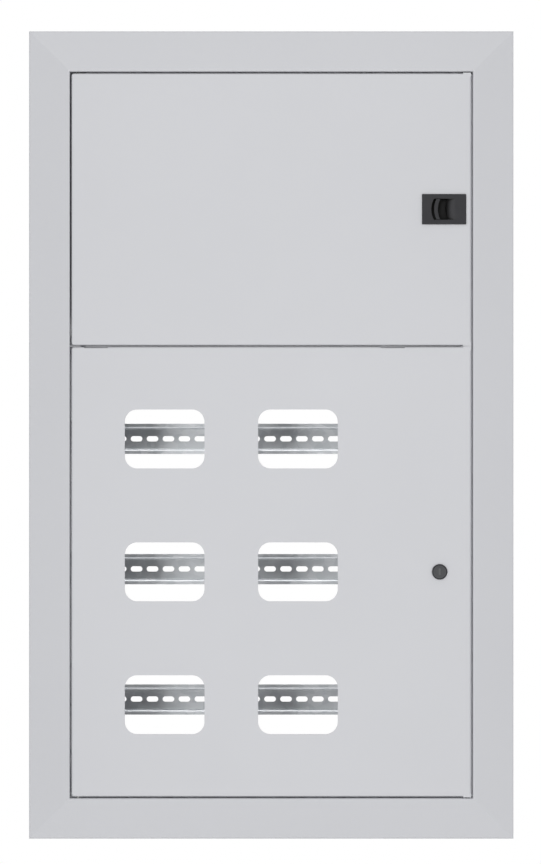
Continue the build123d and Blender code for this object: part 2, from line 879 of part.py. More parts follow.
# Stiffeners: hat channels welded behind the lower door, flush in notches of its top fold
def stiffener(x):
    crown = stiffener_crown / 2
    crown_y = leaf_inner + stiffener_depth - stiffener_sheet
    hat = folded(
        level(lower_leaf_bottom + fold + stop_play),
        [
            (x - stiffener_w / 2, leaf_inner),
            (x - crown - stiffener_slope, leaf_inner),
            (x - crown, crown_y),
            (x + crown, crown_y),
            (x + crown + stiffener_slope, leaf_inner),
            (x + stiffener_w / 2, leaf_inner),
        ],
        stiffener_sheet,
        Side.LEFT,
        stiffener_fold,
    )
    extrude(hat, amount=lower_leaf_h - fold - sheet - stop_play)


with BuildPart() as left_stiffener:
    stiffener(stiffener_columns[0])
save(left_stiffener, "left_stiffener")

with BuildPart() as right_stiffener:
    stiffener(stiffener_columns[1])
save(right_stiffener, "right_stiffener")


# Earth studs with flanged nuts, on the box and on both doors
windows_top = rows["upper"] + window_h / 2
studs = {
    "box": (across(-wall_x), (box_stud_y, -wall_z + box_stud_up), 1),
    "upper_door": (facing(leaf_inner), (stud_x, upper_leaf_top - stud_below), -1),
    "lower_door": (facing(leaf_inner), (stud_x, (lower_leaf_top + windows_top) / 2), -1),
}
for carrier, (plane, point, way) in studs.items():
    with BuildPart() as earth_stud:
        discs(plane, [point], stud_r, 0, way * stud_l)
    save(earth_stud, f"{carrier}_earth_stud")
    with BuildPart() as earth_nut:
        discs(plane, [point], stud_washer_r, 0, way * stud_washer_h)
        nut_end = way * (stud_washer_h + stud_nut_h)
        nuts(plane, [point], stud_nut_flats, stud_r, way * stud_washer_h, nut_end)
        discs(plane, [point], stud_r, 0, way * stud_washer_h, Mode.SUBTRACT)
    save(earth_nut, f"{carrier}_earth_nut")


# Slide latch: housing with a finger opening, slider with a curved grip, steel tongue
bezel_front = front - bezel_h
slider_front = bezel_front + pocket_depth
cavity_front = slider_front - latch_fit
cavity_back = latch_back - latch_wall
slider_back = cavity_back - latch_fit
ramp_edge = bezel_front + pocket_depth - latch_wall


def curved_slot(plane, left, right, half_height):
    """Upright slot whose left and right edges are arcs that bulge to the left."""
    bulge = latch_arc_r - (latch_arc_r**2 - half_height**2) ** 0.5
    with BuildSketch(plane) as slot:
        with BuildLine():
            ThreePointArc((left + bulge, -half_height), (left, 0), (left + bulge, half_height))
            Line((left + bulge, half_height), (right + bulge, half_height))
            ThreePointArc((right + bulge, half_height), (right, 0), (right + bulge, -half_height))
            Line((right + bulge, -half_height), (left + bulge, -half_height))
        make_face()
    return slot.sketch


def latch_plane(y):
    """Plane at depth y with its origin on the latch's middle."""
    return Plane(origin=(latch_x, y, upper_leaf_z), x_dir=(1, 0, 0), z_dir=(0, -1, 0))


with BuildPart() as latch_housing:
    with BuildSketch(latch_plane(front)):
        RectangleRounded(latch_w, latch_h, latch_corner_r)
    extrude(amount=bezel_h)
    fillet(latch_housing.faces().sort_by(Axis.Y)[0].edges(), bezel_edge)
    with BuildSketch(latch_plane(front)):
        Rectangle(latch_body_w, latch_body_h)
    extrude(amount=front - latch_back)
    for side in (-1, 1):
        body_z = upper_leaf_z + side * latch_body_h / 2
        with BuildSketch(across(latch_x - barb_w / 2)):
            with BuildLine():
                Polyline(
                    (leaf_inner, body_z),
                    (leaf_inner, body_z + side * barb_h),
                    (leaf_inner + barb_depth, body_z),
                    close=True,
                )
            make_face()
        extrude(amount=barb_w)
    with BuildSketch(latch_plane(cavity_front)):
        Rectangle(latch_body_w - 2 * latch_wall, slider_h + 2 * latch_fit)
    extrude(amount=cavity_front - cavity_back, mode=Mode.SUBTRACT)
    opening = curved_slot(
        latch_plane(cavity_front), latch_arc_x, ramp_x, slider_h / 2 + latch_fit
    )
    extrude(opening, amount=2 * pocket_depth, mode=Mode.SUBTRACT)
    with BuildSketch(Plane.XY.offset(upper_leaf_z - slider_h / 2)):
        with BuildLine():
            Polyline(
                (latch_x + ramp_end, bezel_front),
                (latch_x + ramp_end, bezel_front - 1),
                (latch_x + latch_arc_x / 2, bezel_front - 1),
                (latch_x + latch_arc_x / 2, ramp_edge),
                (latch_x + ramp_x, ramp_edge),
            )
            TangentArc(
                (latch_x + ramp_end, bezel_front),
                (latch_x + ramp_x, ramp_edge),
                tangent=(-1, 0),
            )
        make_face()
    extrude(amount=slider_h, mode=Mode.SUBTRACT)
    stem_slot = rectangle(
        latch_plane(cavity_back),
        -stem_w / 2 - latch_fit,
        stem_w / 2 + latch_travel + latch_fit,
        -stem_w / 2 - latch_fit,
        stem_w / 2 + latch_fit,
    )
    extrude(stem_slot, amount=-2 * latch_wall, mode=Mode.SUBTRACT)
save(latch_housing, "latch_housing")

with BuildPart() as latch_slider:
    block = rectangle(
        latch_plane(slider_front), slider_x, slider_x + slider_w, -slider_h / 2, slider_h / 2
    )
    extrude(block, amount=slider_front - slider_back)
    grip = curved_slot(latch_plane(slider_front), grip_x, grip_x + grip_w, slider_h / 2)
    extrude(grip, amount=pocket_depth + grip_proud)
    fillet(latch_slider.faces().sort_by(Axis.Y)[0].edges(), grip_edge)
    with BuildSketch(latch_plane(slider_back)):
        Rectangle(stem_w, stem_w)
    extrude(amount=slider_back - tongue_front)
    screw_hole = latch_plane(tongue_front)
    discs(screw_hole, [(0, 0)], latch_screw_r, 0, latch_screw_l, Mode.SUBTRACT)
save(latch_slider, "latch_slider")

with BuildPart() as latch_tongue:
    tongue = rectangle(
        latch_plane(tongue_front),
        -tongue_tail,
        stop_x - tongue_tip_clearance - latch_x,
        -tongue_h / 2,
        tongue_h / 2,
    )
    extrude(tongue, amount=-tongue_sheet)
    discs(latch_plane(tongue_front), [(0, 0)], latch_screw_r, 0, -tongue_sheet, Mode.SUBTRACT)
save(latch_tongue, "latch_tongue")

with BuildPart() as latch_screw:
    tongue_back = latch_plane(tongue_front + tongue_sheet)
    discs(tongue_back, [(0, 0)], latch_screw_r, 0, tongue_sheet + latch_screw_l - latch_fit)
    discs(tongue_back, [(0, 0)], latch_screw_head_r, 0, -latch_screw_head_h)
save(latch_screw, "latch_screw")


# Cam lock: housing, plug with a key slot and its shutter, and a cam behind the door
lock_front = front - lock_head_h
plug_head_r = lock_head_r - lock_rim
barrel_back = cam_front - cam_play
key_slot_back = lock_front + key_slot_depth


def lock_plane(y):
    """Plane at depth y with its origin on the lock's axis."""
    return Plane(origin=(lock_x, y, lower_leaf_z), x_dir=(1, 0, 0), z_dir=(0, -1, 0))


def lock_disc(y_start, y_end, radius, mode=Mode.ADD):
    discs(lock_plane(y_start), [(0, 0)], radius, 0, y_start - y_end, mode)


with BuildPart() as lock_housing:
    lock_disc(lock_front, front, lock_head_r)
    fillet(lock_housing.edges().group_by(Axis.Y)[0], lock_rim / 3)
    lock_disc(front, barrel_back, lock_barrel_r)
    lock_disc(
        lock_front,
        lock_front + lock_plug_head_h + lock_running,
        plug_head_r + lock_running,
        Mode.SUBTRACT,
    )
    lock_disc(lock_front, barrel_back, lock_plug_r + lock_running, Mode.SUBTRACT)
save(lock_housing, "lock_housing")

with BuildPart() as lock_nut:
    nuts(lock_plane(leaf_inner), [(0, 0)], lock_nut_flats, lock_barrel_r, 0, -lock_nut_h)
save(lock_nut, "lock_nut")

with BuildPart() as lock_cylinder:
    lock_disc(lock_front, lock_front + lock_plug_head_h, plug_head_r)
    lock_disc(lock_front + lock_plug_head_h, cam_front, lock_plug_r)
    with BuildSketch(lock_plane(cam_front)):
        Rectangle(cam_square, cam_square)
    extrude(amount=-cam_sheet)
    with BuildSketch(lock_plane(lock_front)):
        SlotOverall(key_slot_h, key_slot_w, rotation=90)
    extrude(amount=-key_slot_depth, mode=Mode.SUBTRACT)
    cam_back = cam_front + cam_sheet
    lock_disc(cam_back, cam_back - cam_screw_l, cam_screw_r, Mode.SUBTRACT)
save(lock_cylinder, "lock_cylinder")

with BuildPart() as lock_shutter:
    with BuildSketch(lock_plane(key_slot_back)):
        SlotOverall(key_slot_h, key_slot_w, rotation=90)
    extrude(amount=shutter_sheet)
save(lock_shutter, "lock_shutter")

with BuildPart() as lock_cam:
    with BuildSketch(lock_plane(cam_front)):
        Circle(cam_hub_r)
        with Locations((0, -cam_length / 2)):
            RectangleRounded(cam_w, cam_length, cam_w / 4)
        Rectangle(cam_square, cam_square, mode=Mode.SUBTRACT)
    extrude(amount=-cam_sheet)
save(lock_cam, "lock_cam")

with BuildPart() as cam_screw:
    lock_disc(cam_back, cam_back + cam_screw_head_h, cam_screw_head_r)
    lock_disc(cam_back, cam_back - cam_screw_l + cam_play, cam_screw_r)
save(cam_screw, "cam_screw")
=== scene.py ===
# Looks of the flush floor distribution board: finishes, small fasteners, studio and camera.
import json
import math

import bmesh
import bpy
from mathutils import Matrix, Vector


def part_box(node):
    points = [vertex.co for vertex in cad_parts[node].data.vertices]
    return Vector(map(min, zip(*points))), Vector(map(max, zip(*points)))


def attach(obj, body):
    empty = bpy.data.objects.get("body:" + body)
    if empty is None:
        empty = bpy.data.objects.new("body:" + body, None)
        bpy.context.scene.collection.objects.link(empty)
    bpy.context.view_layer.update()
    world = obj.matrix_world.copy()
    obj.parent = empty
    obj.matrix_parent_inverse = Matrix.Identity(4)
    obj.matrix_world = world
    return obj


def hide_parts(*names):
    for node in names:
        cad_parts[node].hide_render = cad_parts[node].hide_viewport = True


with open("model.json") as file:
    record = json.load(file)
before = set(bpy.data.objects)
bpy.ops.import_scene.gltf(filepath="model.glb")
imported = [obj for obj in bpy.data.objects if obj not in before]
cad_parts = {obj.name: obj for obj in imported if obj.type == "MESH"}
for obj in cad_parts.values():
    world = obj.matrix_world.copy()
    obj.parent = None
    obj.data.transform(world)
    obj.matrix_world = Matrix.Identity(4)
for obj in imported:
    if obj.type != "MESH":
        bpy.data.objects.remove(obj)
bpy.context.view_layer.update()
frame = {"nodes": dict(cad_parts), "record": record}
nodes = frame["nodes"]
scene = bpy.context.scene
millimetre = 0.001
print("frame loaded,", len(nodes), "nodes")


# Small helpers

def toLinear(hexColour):
    # sRGB hex such as "d1d2d6" to the linear colour that a shader takes
    channels = [int(hexColour[i:i + 2], 16) / 255 for i in (0, 2, 4)]
    linear = [c / 12.92 if c <= 0.04045 else ((c + 0.055) / 1.055) ** 2.4 for c in channels]
    return (*linear, 1.0)


def addNode(tree, kind, settings=None, **inputs):
    # An input's name is written in camelCase, and a value that is a socket becomes a link
    node = tree.nodes.new(kind)
    for name, value in (settings or {}).items():
        setattr(node, name, value)
    byName = {}
    for socket in node.inputs:
        key = socket.name.replace(" ", "").lower()
        if socket.enabled and key not in byName:
            byName[key] = socket
    for name, value in inputs.items():
        socket = byName[name.lower()]
        if isinstance(value, bpy.types.NodeSocket):
            tree.links.new(value, socket)
        else:
            socket.default_value = value
    return node


def mathOf(tree, operation, first, second):
    # A Math node's inputs share one name, so they are linked by their order
    node = addNode(tree, "ShaderNodeMath", {"operation": operation})
    tree.links.new(first, node.inputs[0])
    tree.links.new(second, node.inputs[1])
    return node.outputs["Value"]


def newMaterial(name):
    material = bpy.data.materials.new(name)
    material.use_nodes = True
    tree = material.node_tree
    tree.nodes.clear()
    output = addNode(tree, "ShaderNodeOutputMaterial")
    return material, tree, output


def objectPlace(tree):
    return addNode(tree, "ShaderNodeTexCoord").outputs["Object"]


def noiseMm(tree, place, sizeMm, detail=2.0, stretch=(1, 1, 1)):
    # Noise whose blobs are sizeMm across
    scaled = addNode(tree, "ShaderNodeMapping", scale=stretch, vector=place)
    return addNode(
        tree, "ShaderNodeTexNoise", scale=1 / (sizeMm * millimetre), detail=detail,
        vector=scaled.outputs["Vector"],
    ).outputs["Fac"]


def toRange(tree, value, low, high, fromLow=0.0, fromHigh=1.0):
    return addNode(
        tree, "ShaderNodeMapRange", value=value, fromMin=fromLow, fromMax=fromHigh,
        toMin=low, toMax=high,
    ).outputs["Result"]


def driftAbout(tree, noise, middle, spread):
    # A value that drifts to both sides of its middle
    return toRange(tree, noise, middle - spread, middle + spread)


def mixColours(tree, factor, firstHex, secondHex):
    ramp = addNode(tree, "ShaderNodeValToRGB", fac=factor)
    ramp.color_ramp.elements[0].color = toLinear(firstHex)
    ramp.color_ramp.elements[1].color = toLinear(secondHex)
    return ramp.outputs["Color"]


def roundedEdges(tree, radiusMm):
    # A normal that catches the light along sharp edges as if they were rounded
    edges = addNode(tree, "ShaderNodeBevel", {"samples": 4}, radius=radiusMm * millimetre)
    return edges.outputs["Normal"]


def bumpOf(tree, height, depthMm, normal=None):
    bump = addNode(tree, "ShaderNodeBump", height=height, distance=depthMm * millimetre)
    if normal:
        tree.links.new(normal, bump.inputs["Normal"])
    return bump.outputs["Normal"]


def shade(tree, output, **inputs):
    shader = addNode(tree, "ShaderNodeBsdfPrincipled", **inputs)
    tree.links.new(shader.outputs["BSDF"], output.inputs["Surface"])


# Finishes

powder = {
    "colour": "d2d3d7", "darker": "cfd0d4", "driftMm": 180,      # light grey of the photo
    "roughness": 0.42, "roughnessSpread": 0.03, "patchMm": 45,
    "peelMm": 1.6, "peelDetail": 1.5, "peelDepthMm": 0.012, "edgeMm": 0.35, "ior": 1.5,
}


def powderCoat():
    # Baked polyester powder on steel: an even satin grey with a fine orange peel
    material, tree, output = newMaterial("powderCoat")
    place = objectPlace(tree)
    drift = noiseMm(tree, place, powder["driftMm"], 1.0)
    colour = mixColours(tree, drift, powder["darker"], powder["colour"])
    edges = roundedEdges(tree, powder["edgeMm"])
    peel = noiseMm(tree, place, powder["peelMm"], powder["peelDetail"])
    normal = bumpOf(tree, peel, powder["peelDepthMm"], edges)
    patches = noiseMm(tree, place, powder["patchMm"])
    roughness = driftAbout(tree, patches, powder["roughness"], powder["roughnessSpread"])
    shade(tree, output, baseColor=colour, roughness=roughness, normal=normal, ior=powder["ior"])
    return material


zinc = {
    "bright": "c6c8ca", "dull": "b3b6b9", "spangleMm": 9.0,
    "roughness": 0.58, "roughnessSpread": 0.06,
    "rollMm": 0.5, "rollStretch": (0.05, 1, 1), "rollDepthMm": 0.004, "edgeMm": 0.2,
}


def galvanisedSteel():
    # Hot-dip galvanised strip: crystal spangles that catch the light a little differently,
    # over rolling lines along X
    material, tree, output = newMaterial("galvanisedSteel")
    place = objectPlace(tree)
    spangle = addNode(tree, "ShaderNodeTexVoronoi", {"feature": "F1"},
                      scale=1 / (zinc["spangleMm"] * millimetre), vector=place)
    tone = addNode(tree, "ShaderNodeSeparateColor", color=spangle.outputs["Color"]).outputs["Red"]
    colour = mixColours(tree, tone, zinc["dull"], zinc["bright"])
    rolled = noiseMm(tree, place, zinc["rollMm"], stretch=zinc["rollStretch"])
    roughness = driftAbout(tree, tone, zinc["roughness"], zinc["roughnessSpread"])
    edges = roundedEdges(tree, zinc["edgeMm"])
    normal = bumpOf(tree, rolled, zinc["rollDepthMm"], edges)
    shade(tree, output, baseColor=colour, roughness=roughness, metallic=1.0, normal=normal)
    return material


plated = {"grainDetail": 3.0, "grainDepthMm": 0.006, "roughnessSpread": 0.05, "edgeMm": 0.15}


def platedMetal(name, bright, dull, roughness, grainMm):
    # Small metal parts: a plated or plain metal with the fine grain of how it was made
    material, tree, output = newMaterial(name)
    grain = noiseMm(tree, objectPlace(tree), grainMm, plated["grainDetail"])
    colour = mixColours(tree, grain, dull, bright)
    edges = roundedEdges(tree, plated["edgeMm"])
    normal = bumpOf(tree, grain, plated["grainDepthMm"], edges)
    worn = driftAbout(tree, grain, roughness, plated["roughnessSpread"])
    shade(tree, output, baseColor=colour, roughness=worn, metallic=1.0, normal=normal)
    return material


plastic = {
    "colour": "3b3b3f", "paler": "404044", "blotchMm": 12,
    # painted shade: near black in recesses within this distance, fading out over this occlusion range
    "recess": "010101", "recessMm": 14.0, "wornFrom": (0.82, 0.99),
    "roughness": 0.46, "roughnessSpread": 0.04,
    "grainMm": 0.45, "grainDepthMm": 0.02, "edgeMm": 0.9, "ior": 1.53,
}


def mouldedPlastic():
    # Black polyamide from a spark-eroded mould: a dense dull grain that greys the open faces,
    # while recesses are painted near black from ambient occlusion, as painted shade
    material, tree, output = newMaterial("blackMouldedPlastic")
    place = objectPlace(tree)
    grain = noiseMm(tree, place, plastic["grainMm"])
    blotch = noiseMm(tree, place, plastic["blotchMm"])
    worn = mixColours(tree, blotch, plastic["colour"], plastic["paler"])
    # Painted shade: the colour darkens to near black where ambient occlusion finds a recess
    recessOcclusion = addNode(tree, "ShaderNodeAmbientOcclusion", {"samples": 8},
                     distance=plastic["recessMm"] * millimetre).outputs["AO"]
    outsidePaintedShade = toRange(tree, recessOcclusion, 0.0, 1.0, *plastic["wornFrom"])
    colour = addNode(tree, "ShaderNodeMix", {"data_type": "RGBA"}, factor=outsidePaintedShade,
                     a=toLinear(plastic["recess"]), b=worn).outputs["Result"]
    edges = roundedEdges(tree, plastic["edgeMm"])
    normal = bumpOf(tree, grain, plastic["grainDepthMm"], edges)
    roughness = driftAbout(tree, blotch, plastic["roughness"], plastic["roughnessSpread"])
    shade(tree, output, baseColor=colour, roughness=roughness, normal=normal, ior=plastic["ior"])
    return material


rubber = {
    "colour": "1c1c1d", "paler": "262627", "bloomMm": 6, "bloomDetail": 3.0,
    "grainMm": 0.8, "grainDepthMm": 0.03, "roughness": 0.72, "ior": 1.52, "sheen": 0.15,
}


def grommetRubber():
    # Moulded EPDM: nearly black, with the soft sheen of a bloomed surface
    material, tree, output = newMaterial("epdmRubber")
    place = objectPlace(tree)
    bloom = noiseMm(tree, place, rubber["bloomMm"], rubber["bloomDetail"])
    colour = mixColours(tree, bloom, rubber["colour"], rubber["paler"])
    normal = bumpOf(tree, noiseMm(tree, place, rubber["grainMm"]), rubber["grainDepthMm"])
    shade(tree, output, baseColor=colour, roughness=rubber["roughness"], normal=normal,
          ior=rubber["ior"], sheenWeight=rubber["sheen"])
    return material


finishes = {
    "grey_powder_coat": powderCoat(),
    "galvanised_steel": galvanisedSteel(),
    "zinc_plated_fasteners": platedMetal(
        "brightZincPlate", "d3d4d3", "bcbdbb", roughness=0.3, grainMm=0.6),
    "aluminium_rivets": platedMetal(
        "plainAluminium", "d2d3d5", "c3c4c6", roughness=0.38, grainMm=0.5),
    "black_plastic": mouldedPlastic(),
    "dark_lock_metal": platedMetal(
        "darkPlatedZincCasting", "727377", "616266", roughness=0.38, grainMm=0.4),
    "lock_shutter_steel": platedMetal(
        "rolledShutterSteel", "c4c5c7", "aeafb1", roughness=0.35, grainMm=0.3),
    "grommet_rubber": grommetRubber(),
}
for part in frame["record"]["subparts"]:
    mesh = nodes[part["node"]].data
    mesh.materials.clear()
    mesh.materials.append(finishes[part["material_slot"]])

# Keys have rubbed the cylinder paler than the rest of the lock
nodes["lock_cylinder"].data.materials[0] = platedMetal(
    "keyWornCylinder", "a2a3a6", "88898c", roughness=0.42, grainMm=0.3)
print("finishes made for", len(nodes), "nodes")


# Small fasteners: each group of CAD solids becomes detailed pieces at the same places

def looseSolids(nodeName, sameVertex=1e-6):
    # Lowest and highest corner of each separate solid in a CAD node
    work = bmesh.new()
    work.from_mesh(nodes[nodeName].data)
    bmesh.ops.remove_doubles(work, verts=work.verts, dist=sameVertex)
    seen = set()
    boxes = []
    for start in work.verts:
        if start in seen:
            continue
        seen.add(start)
        waiting = [start]
        island = []
        while waiting:
            vert = waiting.pop()
            island.append(vert.co.copy())
            for edge in vert.link_edges:
                other = edge.other_vert(vert)
                if other not in seen:
                    seen.add(other)
                    waiting.append(other)
        low = Vector([min(co[i] for co in island) for i in range(3)])
        high = Vector([max(co[i] for co in island) for i in range(3)])
        boxes.append((low, high))
    work.free()
    return sorted(boxes, key=lambda box: tuple(box[0] + box[1]))


def withThreadRows(outlineMm, thread, rowsPerTurn=4):
    # Rows of (radius, height, grooved), with the rows of a thread below one of the points
    rows = []
    for index, (radius, height) in enumerate(outlineMm):
        rows.append((radius, height, False))
        if thread and index == thread["afterPoint"]:
            below = outlineMm[index + 1][1]
            count = int((height - below) / thread["pitchMm"] * rowsPerTurn)
            for i in range(1, count):
                rows.append((radius, height + (below - height) * i / count, True))
    return rows


def turned(name, outlineMm, segments=32, flats=None, thread=None, tailBelowMm=None, bored=False):
    # A turned piece about Z from (radius, height) points, from its top at height 0 downwards.
    # flats cuts a hexagon into its upper part, thread winds a groove, and what lies below
    # tailBelowMm can be moved out by the node tree to suit the length of the CAD solid.
    sixth = math.pi / 3
    work = bmesh.new()
    rings = []
    for radius, height, grooved in withThreadRows(outlineMm, thread):
        ring = []
        for i in range(segments):
            angle = 2 * math.pi * i / segments
            reach = radius
            if flats and height > flats["downToMm"]:
                fromMiddle = angle % sixth - sixth / 2
                reach = min(radius, flats["acrossMm"] / 2 / math.cos(fromMiddle))
            if grooved:
                turn = (height / thread["pitchMm"] + i / segments) % 1
                reach -= thread["depthMm"] * abs(2 * turn - 1)
            place = (reach * math.cos(angle), reach * math.sin(angle), height)
            ring.append(work.verts.new([value * millimetre for value in place]))
        rings.append(ring)
    pairs = list(zip(rings, rings[1:]))
    if bored:
        pairs.append((rings[-1], rings[0]))
    else:
        work.faces.new(rings[0])
        work.faces.new(rings[-1])
    for upper, lower in pairs:
        for i in range(segments):
            j = (i + 1) % segments
            work.faces.new((upper[i], upper[j], lower[j], lower[i]))
    bmesh.ops.recalc_face_normals(work, faces=work.faces)
    mesh = bpy.data.meshes.new(name)
    work.to_mesh(mesh)
    work.free()
    tail = mesh.attributes.new("tail", "FLOAT", "POINT")
    for vert in mesh.vertices:
        below = tailBelowMm is not None and vert.co.z < tailBelowMm * millimetre
        tail.data[vert.index].value = 1.0 if below else 0.0
    return bpy.data.objects.new(name, mesh)


cross = {"across": 1.1, "width": 0.26, "depth": 0.6, "taper": 0.55, "aboveMm": 0.5}


def crossRecess(shape, headRadiusMm, headHighMm):
    # Cuts a tapered cross into the top of a screw head, sized as shares of the head
    acrossMm = headRadiusMm * cross["across"]
    widthMm = headRadiusMm * cross["width"]
    depthMm = headHighMm * cross["depth"]
    cutter = bmesh.new()
    for along, wide in ((acrossMm, widthMm), (widthMm, acrossMm)):
        made = bmesh.ops.create_cube(cutter, size=1.0)
        for vert in made["verts"]:
            taper = cross["taper"] if vert.co.z < 0 else 1.0
            height = cross["aboveMm"] if vert.co.z > 0 else -depthMm
            vert.co.x *= along * taper * millimetre
            vert.co.y *= wide * taper * millimetre
            vert.co.z = height * millimetre
    mesh = bpy.data.meshes.new("recessTool")
    cutter.to_mesh(mesh)
    cutter.free()
    tool = bpy.data.objects.new("recessTool", mesh)
    scene.collection.objects.link(tool)
    scene.collection.objects.link(shape)
    cut = shape.modifiers.new("recess", "BOOLEAN")
    cut.operation = "DIFFERENCE"
    cut.solver = "EXACT"
    cut.use_self = True
    cut.object = tool
    ready = shape.evaluated_get(bpy.context.evaluated_depsgraph_get())
    shape.data = bpy.data.meshes.new_from_object(ready)
    shape.modifiers.clear()
    scene.collection.objects.unlink(shape)
    bpy.data.objects.remove(tool)
    return shape


def fastenerTree():
    # A fastener on each point, turned about its own axis, with its tail moved out to length
    tree = bpy.data.node_groups.new("fastenersOnPoints", "GeometryNodeTree")
    sockets = {
        "Points": "NodeSocketGeometry", "Fastener": "NodeSocketObject", "Turn seed": "NodeSocketInt",
        "Most turn": "NodeSocketFloat", "Finish": "NodeSocketMaterial",
    }
    for name, kind in sockets.items():
        tree.interface.new_socket(name=name, in_out="INPUT", socket_type=kind)
    tree.interface.new_socket(name="Fasteners", in_out="OUTPUT", socket_type="NodeSocketGeometry")
    given = addNode(tree, "NodeGroupInput").outputs
    aim = addNode(tree, "GeometryNodeInputNamedAttribute", {"data_type": "FLOAT_VECTOR"}, name="aim")
    facing = addNode(tree, "FunctionNodeAlignRotationToVector", {"axis": "Z"},
                     vector=aim.outputs["Attribute"])
    shape = addNode(tree, "GeometryNodeObjectInfo", {"transform_space": "ORIGINAL"},
                    object=given["Fastener"])
    placed = addNode(tree, "GeometryNodeInstanceOnPoints", points=given["Points"],
                     instance=shape.outputs["Geometry"], rotation=facing.outputs["Rotation"])
    turn = addNode(tree, "FunctionNodeRandomValue", {"data_type": "FLOAT"},
                   max=given["Most turn"], seed=given["Turn seed"])
    aboutAxis = addNode(tree, "ShaderNodeCombineXYZ", z=turn.outputs["Value"])
    twisted = addNode(tree, "GeometryNodeRotateInstances", instances=placed.outputs["Instances"])
    tree.links.new(aboutAxis.outputs["Vector"], twisted.inputs["Rotation"])
    real = addNode(tree, "GeometryNodeRealizeInstances", geometry=twisted.outputs["Instances"])
    extra = addNode(tree, "GeometryNodeInputNamedAttribute", {"data_type": "FLOAT"}, name="extra")
    tail = addNode(tree, "GeometryNodeInputNamedAttribute", {"data_type": "FLOAT"}, name="tail")
    amount = mathOf(tree, "MULTIPLY", extra.outputs["Attribute"], tail.outputs["Attribute"])
    away = addNode(tree, "ShaderNodeVectorMath", {"operation": "SCALE"},
                   vector=aim.outputs["Attribute"], scale=amount)
    fitted = addNode(tree, "GeometryNodeSetPosition", geometry=real.outputs["Geometry"],
                     offset=away.outputs["Vector"])
    dressed = addNode(tree, "GeometryNodeSetMaterial", geometry=fitted.outputs["Geometry"],
                      material=given["Finish"])
    result = addNode(tree, "NodeGroupOutput")
    tree.links.new(dressed.outputs["Geometry"], result.inputs["Fasteners"])
    return tree


fasteners = fastenerTree()


def placeFasteners(nodeName, aimOf, fastener, slotName, body="root", mostTurn=6.28, seed=1):
    # One plain mesh of detailed fasteners in place of a CAD group
    length = -min(vert.co.z for vert in fastener.data.vertices)
    tops = []
    aims = []
    extras = []
    for low, high in looseSolids(nodeName):
        centre = (low + high) / 2
        aim = Vector(aimOf(centre))
        half = abs(aim.dot(high - low)) / 2
        tops.append(centre + aim * half)
        aims.extend(aim)
        extras.append(length - 2 * half)
    points = bpy.data.meshes.new(nodeName + "_points")
    points.from_pydata(tops, [], [])
    points.attributes.new("aim", "FLOAT_VECTOR", "POINT").data.foreach_set("vector", aims)
    points.attributes.new("extra", "FLOAT", "POINT").data.foreach_set("value", extras)
    holder = bpy.data.objects.new(nodeName + "_detail", points)
    scene.collection.objects.link(holder)
    modifier = holder.modifiers.new("fasteners", "NODES")
    modifier.node_group = fasteners
    values = {"Fastener": fastener, "Turn seed": seed, "Most turn": mostTurn,
              "Finish": finishes[slotName]}
    for item in fasteners.interface.items_tree:
        if item.in_out == "INPUT" and item.name in values:
            modifier[item.identifier] = values[item.name]
    ready = holder.evaluated_get(bpy.context.evaluated_depsgraph_get())
    mesh = bpy.data.meshes.new_from_object(ready)
    holder.modifiers.clear()
    holder.data = mesh
    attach(holder, body)
    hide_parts(nodeName)


nearWallMm = 20
sideWall = -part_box("left_wall")[0].x - nearWallMm * millimetre


def inward(centre):
    # Along X for what sits in the side walls, and along Z for the rest
    if abs(centre.x) > sideWall:
        return (-math.copysign(1, centre.x), 0, 0)
    return (0, 0, -math.copysign(1, centre.z))


def outward(centre):
    return (0, 0, math.copysign(1, centre.z))


def forward(centre):
    return (0, -1, 0)


def backward(centre):
    return (0, 1, 0)


def rightward(centre):
    return (1, 0, 0)


rivet = {"headRadiusMm": 4.0, "headHighMm": 1.4, "shankRadiusMm": 2.0, "gripMm": 2.4,
         "tailRadiusMm": 3.0, "tailHighMm": 2.0, "mandrelRadiusMm": 1.1}


def blindRivet():
    # A domed head round the end of its mandrel, and the bulb that the mandrel drew up behind
    under = -rivet["headHighMm"]
    behind = under - rivet["gripMm"]
    return turned("blindRivet", [
        (rivet["mandrelRadiusMm"], -0.45), (rivet["mandrelRadiusMm"], -0.05),
        (1.5, 0), (2.5, -0.12), (3.3, -0.42), (3.8, -0.85), (rivet["headRadiusMm"], -1.15),
        (rivet["headRadiusMm"] - 0.1, under),
        (rivet["shankRadiusMm"], under), (rivet["shankRadiusMm"], behind), (2.7, behind - 0.15),
        (rivet["tailRadiusMm"], behind - 0.6), (2.9, behind - 1.2), (2.1, behind - 1.8),
        (1.2, behind - rivet["tailHighMm"]),
    ], tailBelowMm=under - 0.1)


rivetShape = blindRivet()
for nodeName in ("trim_rivets", "wall_rivets", "shelf_rivets", "strip_rivets"):
    placeFasteners(nodeName, inward, rivetShape, "aluminium_rivets")

screw = {
    # The head's outline as shares of its radius and height, from the top's flat to the rim
    "head": ((0.3, 0), (0.55, -0.05), (0.8, -0.2), (0.95, -0.45), (1, -0.75), (1, -0.93), (0.97, -1)),
    "tipMm": 0.6, "tipRadius": 0.72, "threadDepth": 0.6,
}
railScrew = {"headRadiusMm": 4.5, "headHighMm": 3.0, "shankRadiusMm": 2.5, "lengthMm": 11.0,
             "pitchMm": 0.8}
glandScrew = {"headRadiusMm": 3.6, "headHighMm": 2.0, "shankRadiusMm": 2.0, "lengthMm": 6.2,
              "pitchMm": 0.7}
latchScrew = {"headRadiusMm": 3.0, "headHighMm": 1.8, "shankRadiusMm": 1.5, "lengthMm": 11.6,
              "pitchMm": 0.5}
camScrew = {"headRadiusMm": 4.0, "headHighMm": 2.0, "shankRadiusMm": 1.5, "lengthMm": 8.7,
            "pitchMm": 0.5}
zincPlate = "zinc_plated_fasteners"


